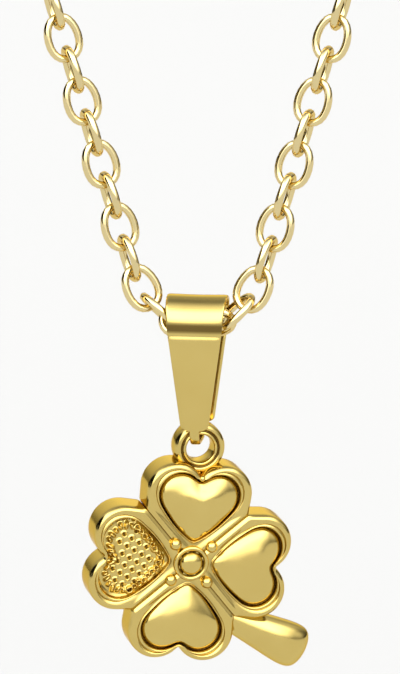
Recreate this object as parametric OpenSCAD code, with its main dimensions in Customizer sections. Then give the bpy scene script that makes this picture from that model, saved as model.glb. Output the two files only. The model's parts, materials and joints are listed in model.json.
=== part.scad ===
// Four leaf clover pendant on a cable chain, a whole necklace in polished yellow gold plate.
// Millimetres. The origin is at the nape, +Z is up and the pendant hangs at the front, towards -Y.

/* [Chain] */
// Outside length of a link
link_len = 3.4; // [3:0.1:4]
// Outside width of a link
link_w = 2.6; // [2.2:0.1:2.8]
// Thickness of a link's wire
link_wire = 0.55; // [0.4:0.05:0.6]
// Clear gap where two links hook together
link_gap = 0.12; // [0.12:0.02:0.2]
// Angle from upright at which the strands leave the pendant
strand_angle = 16.6; // [10:0.2:24]

/* [Bail] */
// Clear gap between the links and the inside of the roll
bail_play = 0.25; // [0.25:0.05:0.5]
// Thickness of the bail's strip
strip_t = 0.3; // [0.25:0.05:0.5]
// Width of the strip over the top of the roll
bail_top_w = 4.1; // [3.6:0.1:4.2]
// Width of the front plate at the crease under the roll
bail_crease_w = 3.6; // [2.6:0.1:3.8]
// Width of the front plate at its foot
bail_foot_w = 1.8; // [1.3:0.1:2.4]
// Height of the front plate from crease to foot
plate_h = 6.5; // [4.5:0.1:9]
// Width of the tongue that passes through the eye
tongue_w = 0.65; // [0.5:0.05:1]
// Turn of the bail about the upright, as it hangs
bail_turn = -7.5; // [-12:0.5:0]

/* [Clover] */
// Distance from the centre to the top of a leaf
leaf_reach = 6.8; // [6:0.05:8]
// Width of a leaf
leaf_w = 7.25; // [6:0.05:7.4]
// Thickness of the clover at its rim
clover_t = 2.4; // [1.8:0.1:3]
// Width of the raised rim around each leaf
rim_w = 0.6; // [0.35:0.05:0.7]
// Depth of the sunk field inside a rim
field_d = 0.65; // [0.3:0.05:1]
// Width of the groove between a heart and the ridge around it
groove_w = 0.3; // [0.2:0.05:0.4]
// Height of a domed heart above its sunk field
heart_h = 0.85; // [0.4:0.05:1.2]
// Outside diameter of the boss at the centre
boss_d = 2.45; // [2:0.05:2.8]
// Diameter of the four beads around the boss
bead_d = 0.8; // [0.6:0.05:0.9]
// Distance from the centre to the beads
bead_r = 1.76; // [1.6:0.02:1.9]
// Diameter of the pits in the pitted leaf
pit_d = 0.36; // [0.25:0.02:0.42]
// Width of the short raised teeth around the pits
tooth_w = 0.26; // [0.2:0.02:0.3]
// Length of the teeth
tooth_len = 0.5; // [0.3:0.05:0.6]
// Length of the stem beyond its root
stem_len = 6.5; // [4.5:0.25:7.5]
// Width of the stem at its end
stem_w = 3.1; // [2.4:0.1:3.8]
// Turn of the clover about the upright, as it hangs
clover_turn = 14.2; // [8:0.2:18]
// Lean of the clover to the side, which its stem brings about
clover_lean = 6.8; // [3:0.1:8]
// Tip of the clover's top towards the front, because the eye stands nearer to its back
clover_tip = 4.4; // [0:0.2:8]

/* [Eye] */
// Diameter of the eye's hole
eye_bore = 1.8; // [1.7:0.05:2.2]
// Width of the eye's ring around the hole
eye_wall = 0.85; // [0.5:0.05:0.95]
// Depth of the eye's ring, front to back
eye_depth = 1.7; // [1:0.1:1.8]

/* [Clasp] */
// Outside length of the clasp's hook
hook_len = 8.6; // [7:0.2:12]
// Outside width of the clasp's hook
hook_w = 4.8; // [4.4:0.2:6]
// Thickness of the hook
hook_t = 1; // [0.8:0.1:1.1]
// Outside diameter of the clasp's small ring
clasp_eye_d = 3; // [2.8:0.1:3.6]
// Thickness of the small ring
clasp_eye_t = 0.65; // [0.5:0.05:0.8]

/* [Hidden] */
$fn = 48;
GOLD = "#d9b64e";
PALE_GOLD = "#e3c566";

// The place where the two strands meet inside the bail, seen from the nape
FRONT = [0, -100, -164];

// The left strand's route from the pendant's strand up to the nape, chosen by hand: x, y, z
ROUTE = [
    [-15.3, -97.5, -124],
    [-31, -88, -77],
    [-44, -71, -39],
    [-50, -50, -19],
    [-45, -26, -7],
    [-29, -9, -1.5],
];

// The first links of each strand beside the bail: rise from level, turn about their length on the
// left and on the right, and the extra play at their lower joint that the sharper bends there need
RISE = 0;
TWIST = [1, 2];
PLAY = 3;
FIRST_LINKS = [
    [3, 18, -30, 0.28],
    [43, 102, 78, 0.3],
    [62, 20, 20, 0.18],
];

// Turn of the faces about the neck: share of the strand, angle
FACING = [[0, 0], [0.14, 0], [0.68, 90], [0.95, 180], [1, 180]];

// Chain sizes that follow
wire_len = link_len - link_wire;
wire_w = link_w - link_wire;
hook_step = link_wire + link_gap;
pitch = wire_len - hook_step;

function unit(v) = v / norm(v);
function flat_dir(rise, turn) = [-cos(rise) * cos(turn), cos(rise) * sin(turn), sin(rise)];
function bend(a, b) = acos(min(1, a * b));
// Distance from the middle of the joint below a first link to the ends of the two links that meet there
function to_end(dirs, k) =
    let (
        turn = k == 0 ? 0 : bend(dirs[k - 1], dirs[k]),
        play = k < len(FIRST_LINKS) ? FIRST_LINKS[k][PLAY] : 0
    )
    hook_step / 2 / cos(turn / 2) + play / 2;

// Directions of the first links, and of the straight strand that follows them
function first_dirs(turn) = [
    for (k = [0 : len(FIRST_LINKS) - 1]) flat_dir(FIRST_LINKS[k][RISE], k == 0 ? turn : 0),
    unit([-sin(strand_angle), 0, cos(strand_angle)])
];
function first_step(dirs, k) = wire_len - to_end(dirs, k) - to_end(dirs, k + 1);
function first_joint(dirs, k) =
    k == 0 ? FRONT : first_joint(dirs, k - 1) + first_step(dirs, k - 1) * dirs[k - 1];
function first_joints(dirs) = [for (k = [0 : len(FIRST_LINKS)]) first_joint(dirs, k)];

// A smooth curve through the points, as a list of points with SAMPLES between two of them.
// Beyond its ends it aims LEAD further on, and it comes level and straight to the clasp
SAMPLES = 24;
LEAD = 25;
function between(a, b, c, d, t) =
    0.5 * (2 * b + (c - a) * t + (2 * a - 5 * b + 4 * c - d) * t ^ 2 + (3 * b - a - 3 * c + d) * t ^ 3);
function curve(pts) = [
    for (i = [1 : len(pts) - 3], s = [0 : SAMPLES - 1])
        between(pts[i - 1], pts[i], pts[i + 1], pts[i + 2], s / SAMPLES),
    pts[len(pts) - 2]
];
function along(pts) = [
    for (i = 0, s = 0; i < len(pts); s = s + (i + 1 < len(pts) ? norm(pts[i + 1] - pts[i]) : 0), i = i + 1) s
];
function at(pts, runs, s) = [
    for (axis = [0 : 2]) lookup(s, [for (i = [0 : len(pts) - 1]) [runs[i], pts[i][axis]]])
];

// Joints of one strand, drawn on the left, from the bail to the clasp
function strand_joints(dirs, end) =
    let (
        first = first_joints(dirs),
        start = first[len(first) - 1],
        lead_in = start - LEAD * dirs[len(dirs) - 1],
        top = ROUTE[len(ROUTE) - 1],
        lead_out = [end[0] + LEAD, top[1], top[2]],
        pts = curve(concat([lead_in, start], ROUTE, [end, lead_out])),
        runs = along(pts),
        total = runs[len(runs) - 1],
        n = floor(total / pitch)
    )
    concat(first, [for (i = [1 : n]) at(pts, runs, total * i / n)]);

// One oval link of round wire, lying along X
module link() {
    straight = wire_len - wire_w;
    for (s = [-1, 1]) {
        translate([s * straight / 2, 0, 0]) rotate([0, 0, s * 90 - 180])
            rotate_extrude(angle = 180) translate([wire_w / 2, 0]) circle(d = link_wire);
        translate([-straight / 2, s * wire_w / 2, 0]) rotate([0, 90, 0])
            cylinder(h = straight, d = link_wire);
    }
}

// A link along dir about its middle, its face turned by twist about dir from the way of facing
module placed_link(middle, dir, facing, twist) {
    flat = unit(facing - (facing * dir) * dir);
    face = flat * cos(twist) + cross(dir, flat) * sin(twist);
    side = cross(face, dir);
    multmatrix([for (k = [0 : 2]) [dir[k], side[k], face[k], middle[k]]]) link();
}

// One strand, drawn on the left: side 0 is the left strand and 1 the right one, to be mirrored.
// The links turn by a right angle from one to the next, and the first links' turn fades out on the way.
// The upper half turns once more where that is needed for the last link to stand across its ring
module strand(side, end) {
    dirs = first_dirs(side == 0 ? -bail_turn : bail_turn);
    joints = strand_joints(dirs, end);
    count = len(joints) - 1;
    firsts = len(FIRST_LINKS);
    last_turn = (count - firsts) % 2 == 0 ? 90 : 0;
    for (k = [0 : count - 1]) {
        dir = unit(joints[k + 1] - joints[k]);
        // A first link's ends lie unequally far beyond its two joints, where the strand bends
        shift = k < firsts ? (to_end(dirs, k + 1) - to_end(dirs, k)) / 2 : 0;
        angle = lookup(k / count, FACING);
        fade = max(0, 1 - (k - firsts) / count * 2);
        rise = max(0, 2 * (k + 1) / count - 1);
        twist = k < firsts ? FIRST_LINKS[k][TWIST[side]]
            : FIRST_LINKS[firsts - 1][TWIST[side]] * fade + last_turn * rise + 90 * (k - firsts + 1);
        middle = (joints[k] + joints[k + 1]) / 2 + shift * dir;
        placed_link(middle, dir, [-sin(angle), -cos(angle), 0], twist);
    }
}

// Clasp: a long hook ring and a small ring, with the nape at its middle
clasp_len = hook_len + clasp_eye_d - (hook_t + clasp_eye_t) / 2;
hook_x = clasp_len / 2 - hook_len / 2;
clasp_eye_x = clasp_eye_d / 2 - clasp_len / 2;
// Where the last joint of each strand lies, hooked in its ring
left_end = [-clasp_len / 2 + clasp_eye_t + link_gap + link_wire / 2 - hook_step / 2, 0, 0];
right_end = [-clasp_len / 2 + hook_t + link_gap + link_wire / 2 - hook_step / 2, 0, 0];

module chain_left() {
    color(PALE_GOLD) strand(0, left_end);
}

module chain_right() {
    color(PALE_GOLD) mirror([1, 0, 0]) strand(1, right_end);
}

module clasp() {
    hook_r = (hook_w - hook_t) / 2;
    straight = hook_len - hook_w;
    color(GOLD) rotate([90, 0, 0]) {
        translate([hook_x, 0, 0]) for (s = [-1, 1]) {
            translate([s * straight / 2, 0, 0]) rotate([0, 0, s * 90 - 180])
                rotate_extrude(angle = 180) translate([hook_r, 0]) circle(d = hook_t);
            translate([-straight / 2, s * hook_r, 0]) rotate([0, 90, 0]) cylinder(h = straight, d = hook_t);
        }
        translate([clasp_eye_x, 0, 0])
            rotate_extrude() translate([(clasp_eye_d - clasp_eye_t) / 2, 0]) circle(d = clasp_eye_t);
    }
}

// Bail: side profile sizes, measured from the middle of the roll. The roll stands proud of the
// two straps under it, with a groove in the crease between them, and the tongue joins the straps
ROLL_PROUD = 0.1;
CREASE_R = 0.2;
CREASE_DEPTH = 0.12;
TONGUE_DROP = 1.06;
roll_in = link_w / 2 + bail_play;
roll_out = roll_in + strip_t;
strap_in = roll_in - ROLL_PROUD;
strap_out = strap_in + strip_t;
crease_z = -sqrt(roll_out ^ 2 - strap_out ^ 2);
plate_foot = crease_z - plate_h;
tongue_z = plate_foot - TONGUE_DROP;

module at_bail() {
    translate(FRONT) rotate([0, 0, bail_turn]) children();
}

// A round-cornered U from the middle of the roll down to a bottom, half as wide as half
module strap_profile(half, bottom, corner) {
    translate([-half, bottom + corner]) square([2 * half, -bottom - corner]);
    translate([corner - half, bottom]) square([2 * (half - corner), corner + 0.01]);
    for (s = [-1, 1]) translate([s * (half - corner), bottom + corner]) circle(r = corner);
}

module bail_profile() {
    crease_x = strap_out + CREASE_R - CREASE_DEPTH;
    difference() {
        union() {
            circle(r = roll_out);
            strap_profile(strap_out, tongue_z, TONGUE_DROP);
        }
        circle(r = roll_in);
        strap_profile(strap_in, tongue_z + strip_t, TONGUE_DROP - strip_t);
        for (s = [-1, 1]) translate([s * crease_x, crease_z + CREASE_DEPTH]) circle(r = CREASE_R);
    }
}

// Points of an arc about a middle, from one angle to another
ARC_STEPS = 8;
function arc(middle, r, from, to) = [
    for (i = [0 : ARC_STEPS])
        let (a = from + (to - from) * i / ARC_STEPS) middle + r * [cos(a), sin(a)]
];

module bail_outline() {
    foot_r = 0.4;
    foot_x = bail_foot_w / 2 - foot_r;
    right = concat(
        [[bail_top_w / 2, roll_out + 0.1], [bail_crease_w / 2, crease_z]],
        arc([foot_x, plate_foot + foot_r], foot_r, 8, -90)
    );
    tongue = [[tongue_w / 2, plate_foot], [tongue_w / 2, tongue_z - 0.1]];
    half = concat(right, tongue);
    polygon(concat(half, [for (i = [len(half) - 1 : -1 : 0]) [-half[i][0], half[i][1]]]));
}

module bail() {
    color(GOLD) at_bail() intersection() {
        rotate([90, 0, 90]) linear_extrude(bail_top_w + 1, center = true) bail_profile();
        rotate([90, 0, 0]) linear_extrude(2 * roll_out + 1, center = true) bail_outline();
    }
}

// Clover: its own frame has the boss at the origin, the leaves in X and Y, and its back at Z = 0
// The eye's middle stands above the top leaf, a little to one side, and nearer to the clover's back
EYE_ABOVE = 0.89;
eye_x = -0.19;
eye_y = leaf_reach + EYE_ABOVE;
eye_z = clover_t * 0.29;
// Half the width of a leaf's foot on the diagonals, where two leaves meet, and the radius of its lobes
leaf_foot = leaf_w * 0.49;
lobe_r = leaf_w * 0.272;

// Where the eye hangs on the tongue: how far aside of the bail's middle, and the clear gap above the tongue
EYE_ASIDE = 0.02;
EYE_PLAY = 0.08;
// The eye is turned against the tongue, which brings the ends of its hole nearer to the tongue's edges.
// The ends are rounded, so that only a share of its depth counts
END_SHARE = 0.89;
eye_turn = clover_turn - bail_turn;
turn_room = eye_depth / 2 * END_SHARE * tan(eye_turn);
eye_half_chord = tongue_w / 2 / cos(eye_turn) + EYE_ASIDE + turn_room;
eye_top = sqrt((eye_bore / 2) ^ 2 - eye_half_chord ^ 2);
eye_at = FRONT + [EYE_ASIDE, 0, tongue_z + strip_t - eye_top + EYE_PLAY];

module at_clover() {
    translate(eye_at) rotate([clover_tip, clover_lean, clover_turn]) rotate([90, 0, 0])
        translate([-eye_x, -eye_y, -eye_z]) children();
}

// The point where a line from the tip of a heart touches its right lobe, of radius r at c
function touch(tip, c, r) =
    let (d = norm(c - tip), a = asin(r / d), dir = atan2(c[1] - tip[1], c[0] - tip[0]) - a)
    tip + sqrt(d ^ 2 - r ^ 2) * [cos(dir), sin(dir)];

// A heart that is w wide, with its tip and its top at these heights
module heart(w, tip, top) {
    r = w * 0.27;
    c = [w / 2 - r, top - r];
    t = touch([0, tip], c, r);
    for (s = [-1, 1]) translate([s * c[0], c[1]]) circle(r = r);
    polygon([[0, tip], t, c, [-c[0], c[1]], [-t[0], t[1]]]);
}

// One leaf's outline, drawn in by inset all round
module leaf(inset) {
    c = [leaf_w / 2 - lobe_r, leaf_reach - lobe_r];
    for (s = [-1, 1]) translate([s * c[0], c[1]]) circle(r = lobe_r - inset);
    half = leaf_w / 2 - inset;
    foot = leaf_foot - inset;
    polygon([[0, 0], [foot, foot], [half, c[1]], [-half, c[1]], [-foot, foot]]);
}

// The turns of the four leaves, and which one has pits in place of a heart
LEAVES = [0, 90, 180, 270];
PITTED = 90;
// A thin ridge runs between the rim and the groove, and the hearts fill what the three leave free.
// Over the lobes the rim is narrower than at a leaf's sides
RIDGE_W = 0.2;
HEART_TIP = 1.6;
LOBE_RAISE = 0.2;
border_w = rim_w + RIDGE_W + groove_w;
heart_w = leaf_w - 2 * border_w;
heart_top = leaf_reach - border_w + LOBE_RAISE;

// Levels of the rim's rounded edge: inset, height as a share of the clover's thickness
RIM_STEPS = [[0, 0.9], [0.1, 0.96], [0.25, 1]];

module leaves() {
    for (step = RIM_STEPS) linear_extrude(clover_t * step[1]) for (a = LEAVES) rotate(a) leaf(step[0]);
}

// Everything sunk into one leaf, down from the rim: the ridge by a share of the field's depth
RIDGE_SINK = 0.25;
module leaf_sinks() {
    grooved = heart_w + 2 * groove_w;
    translate([0, 0, clover_t - field_d * RIDGE_SINK])
        linear_extrude(1) heart(grooved + 2 * RIDGE_W, HEART_TIP - 0.35, heart_top + groove_w + RIDGE_W);
    translate([0, 0, clover_t - field_d])
        linear_extrude(1) heart(grooved, HEART_TIP - 0.2, heart_top + groove_w);
}

// The outline of a heart as points, anticlockwise from its tip
function heart_points(w, tip, top) =
    let (
        r = w * 0.27,
        c = [w / 2 - r, top - r],
        t = touch([0, tip], c, r),
        right = concat(
            [for (i = [1 : 3]) [0, tip] + (t - [0, tip]) * i / 4],
            arc(c, r, atan2(t[1] - c[1], t[0] - c[0]), 180 - acos(c[0] / r))
        )
    )
    concat([[0, tip]], right, [for (i = [len(right) - 2 : -1 : 0]) [-right[i][0], right[i][1]]]);

// Rings of a domed heart: share of the outline's size, share of its height above the field
DOME_RINGS = [[1, -0.2], [1, 0.25], [0.95, 0.55], [0.84, 0.78], [0.66, 0.92], [0.4, 0.985]];

// A domed heart, lofted through smaller and higher copies of its outline
module heart_dome() {
    outline = heart_points(heart_w, HEART_TIP, heart_top);
    n = len(outline);
    middle = [0, heart_top - heart_w * 0.38];
    points = concat(
        [for (ring = DOME_RINGS, p = outline)
            let (q = middle + (p - middle) * ring[0]) [q[0], q[1], clover_t - field_d + heart_h * ring[1]]],
        [[middle[0], middle[1], clover_t - field_d + heart_h]]
    );
    last = len(DOME_RINGS) - 1;
    polyhedron(points, concat(
        [[for (i = [0 : n - 1]) i]],
        [for (k = [0 : last - 1], i = [0 : n - 1])
            let (j = (i + 1) % n) each [
                [k * n + i, (k + 1) * n + i, (k + 1) * n + j],
                [k * n + i, (k + 1) * n + j, k * n + j],
            ]],
        [for (i = [0 : n - 1]) [last * n + i, (last + 1) * n, last * n + (i + 1) % n]]
    ));
}

// Whether a point lies in a heart
function in_heart(p, w, tip, top) =
    let (
        r = w * 0.27,
        c = [w / 2 - r, top - r],
        t = touch([0, tip], c, r),
        q = [abs(p[0]), p[1]]
    )
    norm(q - c) < r || (q[1] < c[1] && cross(t - [0, tip], q - [0, tip]) > 0);

// The pitted leaf: a turned square lattice of pits, inside a border of short raised teeth
PIT_TURN = -25.5;
PIT_LIFT = 0.05;
TEETH_IN = 0.75;
pit_step = heart_w * 0.122;
tooth_step = heart_w * 0.096;

module pits() {
    n = ceil(heart_top / pit_step);
    for (i = [-n : n], j = [-n : n]) {
        spot = pit_step * [i * cos(PIT_TURN) - j * sin(PIT_TURN), i * sin(PIT_TURN) + j * cos(PIT_TURN)]
            + [0, heart_top * 0.6];
        if (in_heart(spot, heart_w - 2 * TEETH_IN, HEART_TIP + 1.4 * TEETH_IN, heart_top - TEETH_IN))
            translate([spot[0], spot[1], clover_t - field_d + PIT_LIFT]) sphere(d = pit_d);
    }
}

module teeth() {
    outline = heart_points(heart_w - tooth_w, HEART_TIP + tooth_w, heart_top - tooth_w / 2);
    pts = [for (p = concat(outline, [outline[0]])) [p[0], p[1], 0]];
    runs = along(pts);
    n = floor(runs[len(runs) - 1] / tooth_step);
    middle = [0, heart_top * 0.6, 0];
    for (i = [0 : n - 1]) {
        spot = at(pts, runs, runs[len(runs) - 1] * (i + 0.5) / n);
        way = middle - spot;
        translate([spot[0], spot[1], clover_t - field_d]) rotate(atan2(way[1], way[0]))
            rotate([0, 90, 0]) cylinder(h = tooth_len, d = tooth_w);
    }
}

// The stem's half widths: share of its length, share of its end's half width
STEM_ROWS = [
    [0, 0.55],
    [0.2, 0.67],
    [0.45, 0.8],
    [0.6, 0.9],
    [0.75, 0.98],
    [0.85, 1],
    [0.92, 0.93],
    [0.965, 0.72],
    [0.99, 0.42],
    [1, 0],
];
// Its root between two leaves, how far it slants down, and the big ball that rounds its front
STEM_ROOT = [3, -3.75];
STEM_ANGLE = -20.5;
STEM_BACK = 0.15;
STEM_BALL_R = 9;
STEM_SINK = 0.1;

module stem() {
    side = [for (row = STEM_ROWS) [row[0] * stem_len, row[1] * stem_w / 2]];
    back = [for (i = [len(side) - 2 : -1 : 0]) [side[i][0], -side[i][1]]];
    ball = STEM_ROOT + 0.63 * stem_len * [cos(STEM_ANGLE), sin(STEM_ANGLE)];
    intersection() {
        translate([STEM_ROOT[0], STEM_ROOT[1], STEM_BACK]) rotate(STEM_ANGLE)
            linear_extrude(clover_t) polygon(concat(side, back));
        translate([ball[0], ball[1], clover_t - STEM_SINK - STEM_BALL_R])
            rotate([90, 0, 0]) sphere(STEM_BALL_R);
    }
}

// The groove that gives the eye's ring its double band: radius, how far its middle stands out, and
// its place as a share of the ring's width
BAND_R = 0.14;
BAND_LIFT = 0.04;
BAND_AT = 0.41;
// A short round web fills the notch between the top leaf's lobes, under the ring
WEB_R = 0.45;
WEB_SHARE = 0.55;

module eye_ring() {
    end_r = eye_wall / 2;
    hole_r = eye_bore / 2;
    translate([eye_x, eye_y, eye_z]) difference() {
        rotate_extrude() {
            translate([hole_r, end_r - eye_depth / 2]) square([eye_wall, eye_depth - eye_wall]);
            for (s = [-1, 1]) translate([hole_r + end_r, s * (eye_depth / 2 - end_r)]) circle(r = end_r);
        }
        rotate_extrude() translate([hole_r + BAND_AT * eye_wall, eye_depth / 2 + BAND_LIFT])
            circle(r = BAND_R);
    }
    lobe_x = leaf_w / 2 - lobe_r;
    notch_y = leaf_reach - lobe_r + sqrt(lobe_r ^ 2 - lobe_x ^ 2);
    translate([0, notch_y, 0]) cylinder(h = clover_t * WEB_SHARE, r = WEB_R);
}

// The boss: a low collar with a dome in it, and how far the beads are sunk in the rims
COLLAR_H = 0.12;
DOME_H = 0.42;
BEAD_SINK = 0.1;

module boss() {
    dome_r = boss_d * 0.55;
    cylinder(h = clover_t + COLLAR_H, d = boss_d);
    intersection() {
        cylinder(h = clover_t + 1, d = boss_d * 0.78);
        translate([0, 0, clover_t + DOME_H - dome_r]) sphere(dome_r);
    }
    for (a = LEAVES) rotate(a + 45) translate([bead_r, 0, clover_t - BEAD_SINK]) sphere(d = bead_d);
}

module clover() {
    color(GOLD) at_clover() {
        difference() {
            union() {
                leaves();
                stem();
            }
            for (a = LEAVES) rotate(a) leaf_sinks();
            rotate(PITTED) pits();
            translate([eye_x, eye_y, -1]) cylinder(h = clover_t + 2, d = eye_bore);
        }
        for (a = LEAVES) if (a != PITTED) rotate(a) heart_dome();
        rotate(PITTED) teeth();
        eye_ring();
        boss();
    }
}

chain_left();
chain_right();
clasp();
bail();
clover();
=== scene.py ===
"""Four leaf clover pendant on its cable chain in polished gold plate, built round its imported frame."""

import json
import math

import bmesh
import bpy
import numpy as np
from mathutils import Matrix, Vector


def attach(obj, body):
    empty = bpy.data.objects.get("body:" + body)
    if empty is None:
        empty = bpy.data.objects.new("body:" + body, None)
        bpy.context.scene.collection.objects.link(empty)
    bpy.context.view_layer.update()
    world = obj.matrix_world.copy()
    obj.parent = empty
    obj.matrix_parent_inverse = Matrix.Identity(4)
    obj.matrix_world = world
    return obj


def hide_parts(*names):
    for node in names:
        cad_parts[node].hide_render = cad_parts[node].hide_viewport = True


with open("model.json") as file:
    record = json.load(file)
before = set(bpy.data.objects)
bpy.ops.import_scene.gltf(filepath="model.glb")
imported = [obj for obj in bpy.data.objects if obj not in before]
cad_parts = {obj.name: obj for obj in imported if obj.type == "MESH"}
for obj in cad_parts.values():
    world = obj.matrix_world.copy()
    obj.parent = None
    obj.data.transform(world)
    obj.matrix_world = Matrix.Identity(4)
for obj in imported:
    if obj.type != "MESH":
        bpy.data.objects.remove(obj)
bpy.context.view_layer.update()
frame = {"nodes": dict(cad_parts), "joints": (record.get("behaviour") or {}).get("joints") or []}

bl_info = {
    "name": "Four Leaf Clover Pendant",
    "version": (1, 0, 0),
    "blender": (4, 5, 0),
    "location": "3D View > Sidebar > Clover Pendant",
    "description": "Builds a gold clover charm, its bail and its cable chain necklace",
    "category": "Add Mesh",
}

MM = 0.001
JOINTS = {joint["name"]: joint for joint in frame["joints"]}
HANG = Vector(JOINTS["bail_swing"]["pos_m"])
EYE = Vector(JOINTS["clover_swing"]["pos_m"])
BAIL_TURN = math.atan2(JOINTS["bail_swing"]["axis"][1], JOINTS["bail_swing"]["axis"][0])

# The photograph's frame: its size, and where in it the strands meet inside the bail
PHOTO_W, PHOTO_H = 400, 674
HANG_PX = (197.5, 322.2)


def length(name, description, default_mm):
    """A size property in metres, with its default given in millimetres."""
    return bpy.props.FloatProperty(
        name=name, description=description, default=default_mm * MM, min=0.0, unit="LENGTH", precision=5
    )


def turned(name, description, degrees):
    """An angle property, with its default given in degrees."""
    return bpy.props.FloatProperty(
        name=name, description=description, default=math.radians(degrees), unit="ROTATION"
    )


def colour(name, description, default):
    """A colour property."""
    return bpy.props.FloatVectorProperty(
        name=name, description=description, default=default, size=3, min=0.0, max=1.0, subtype="COLOR"
    )


class ChainSizes(bpy.types.PropertyGroup):
    """Sizes of the chain's links and of the clasp."""

    link_len: length("Link length", "Outside length of a link", 3.4)
    link_w: length("Link width", "Outside width of a link", 2.6)
    link_wire: length("Link wire", "Thickness of a link's wire", 0.55)
    egg: bpy.props.FloatProperty(
        name="Egg shape", description="How much narrower a link is above than below", default=0.07
    )
    hook_len: length("Hook length", "Outside length of the clasp's hook", 8.6)
    hook_w: length("Hook width", "Outside width of the clasp's hook", 4.8)
    hook_wire: length("Hook wire", "Thickness of the hook", 1.0)
    ring_d: length("Ring diameter", "Outside diameter of the clasp's small ring", 3.0)
    ring_wire: length("Ring wire", "Thickness of the small ring", 0.65)


class BailSizes(bpy.types.PropertyGroup):
    """Sizes of the folded strip."""

    roll_r: length("Roll radius", "Outside radius of the roll", 1.85)
    strip_t: length("Strip thickness", "Thickness of the strip", 0.3)
    strap_out: length("Strap distance", "Outer face of a strap from the roll's middle", 1.75)
    crease_drop: length("Crease drop", "The crease below the roll's middle", 0.6)
    top_w: length("Top width", "Width over the top of the roll", 4.1)
    crease_w: length("Crease width", "Width of the plate at the crease", 3.6)
    foot_w: length("Foot width", "Width of the plate at its foot", 1.8)
    plate_h: length("Plate height", "Height of the plate from crease to foot", 6.5)
    tongue_w: length("Tongue width", "Width of the tongue through the eye", 0.65)
    tongue_drop: length("Tongue drop", "The tongue's lowest line below the plate's foot", 1.06)
    edge_r: length("Edge rounding", "Rounding of the strip's edges", 0.09)
    flare: length("Flare", "How far the ends of the roll spread", 0.05)
    shoulder: length("Shoulder", "How far the plate swells under the crease", 0.06)


class CloverSizes(bpy.types.PropertyGroup):
    """Sizes of the cast clover."""

    leaf_reach: length("Leaf reach", "From the centre to the top of a leaf", 6.8)
    leaf_w: length("Leaf width", "Width of a leaf", 7.25)
    thick: length("Thickness", "Thickness at the rim", 2.4)
    rim_w: length("Rim width", "Width of the raised rim", 0.6)
    ridge_w: length("Ridge width", "Width of the thin ridge", 0.2)
    groove_w: length("Groove width", "Width of the groove round a heart", 0.3)
    lobe_raise: length("Lobe raise", "How much narrower the rim is over the lobes", 0.2)
    field_d: length("Field depth", "Depth of the groove's floor under the rim", 0.65)
    heart_tip: length("Heart tip", "A heart's tip from the centre", 1.6)
    dome_h: length("Dome height", "A heart's top above the rim", 0.55)
    boss_d: length("Boss diameter", "Outside diameter of the boss", 2.45)
    bead_d: length("Bead diameter", "Diameter of the four beads", 0.8)
    bead_r: length("Bead distance", "Distance from the centre to the beads", 1.76)
    pit_d: length("Pit diameter", "Diameter of the pits", 0.24)
    pit_step: length("Pit step", "Distance between the pits", 0.6)
    stem_len: length("Stem length", "Length of the stem beyond its root", 6.5)
    stem_w: length("Stem width", "Width of the stem near its end", 3.1)
    eye_bore: length("Eye bore", "Diameter of the eye's hole", 1.8)
    eye_wall: length("Eye wall", "Width of the eye's ring", 0.85)
    eye_depth: length("Eye depth", "Depth of the eye's ring", 1.7)
    eye_above: length("Eye above", "The eye's middle above the top leaf", 0.89)
    eye_left: length("Eye aside", "The eye's middle to the left of the top leaf's", 0.19)
    turn: turned("Turn", "Turn about the upright as it hangs", 14.2)
    lean: turned("Lean", "Lean to the side as it hangs", 6.8)
    tip: turned("Tip", "Tip of its top towards the front as it hangs", 4.4)


class GoldLooks(bpy.types.PropertyGroup):
    """Colours of the gold plate."""

    bright: colour("Bright gold", "Colour of the polished plate", (0.68, 0.53, 0.18))
    deep: colour("Deep gold", "Colour where the plate is warmer", (0.6, 0.445, 0.13))
    # Colour of the painted shade laid into the grooves, pits and the bail's crease
    sunk: colour("Sunk lines", "Colour in the grooves and pits", (0.1, 0.055, 0.012))
    chain: colour("Chain gold", "Colour of the chain", (0.79, 0.65, 0.33))
    roughness: bpy.props.FloatProperty(
        name="Roughness", description="Roughness of the polish", default=0.15, min=0.0, max=1.0
    )


class StageLooks(bpy.types.PropertyGroup):
    """Floor, light and camera."""

    floor_z: length("Floor depth", "The floor below the nape", 280)
    floor: colour("Floor colour", "Pale floor", (0.55, 0.55, 0.545))
    camera_far: length("Camera distance", "Distance of the camera", 450)
    camera_tilt: turned("Camera elevation", "The camera above level", 11)
    px_per_mm: bpy.props.FloatProperty(name="Scale", description="Photograph pixels per mm", default=15.05)


# Sizes and groups of settings by the name under which the scene holds them
SETTINGS = {
    "pendant_chain": ChainSizes,
    "pendant_bail": BailSizes,
    "pendant_clover": CloverSizes,
    "pendant_gold": GoldLooks,
    "pendant_stage": StageLooks,
}


def between(a, b, share):
    """The place between two numbers or vectors."""
    return a + (b - a) * share


def shares(steps):
    """Even shares from 0 to 1."""
    return [k / steps for k in range(steps + 1)]


def smooth(x):
    """An easing from 0 to 1."""
    x = min(1.0, max(0.0, x))
    return x * x * (3 - 2 * x)


def first_ring(bm, places):
    """A new ring of vertices at the given places, in order."""
    ring = bmesh.ops.create_circle(bm, segments=len(places), radius=1.0)["verts"][:1]
    while len(ring) < len(places):
        others = [edge.other_vert(ring[-1]) for edge in ring[-1].link_edges]
        ring.append(next(other for other in others if other not in ring[-2:]))
    for vert, place in zip(ring, places):
        vert.co = place
    return ring


def next_ring(bm, ring, places):
    """Extrudes a ring of vertices and moves the new one to the given places."""
    edges = [bm.edges.get((ring[i - 1], ring[i])) for i in range(len(ring))]
    made = bmesh.ops.extrude_edge_only(bm, edges=edges)["geom"]
    fresh = {item for item in made if isinstance(item, bmesh.types.BMVert)}
    result = []
    for vert, place in zip(ring, places):
        copy = next(edge.other_vert(vert) for edge in vert.link_edges if edge.other_vert(vert) in fresh)
        copy.co = place
        result.append(copy)
    return result


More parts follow.
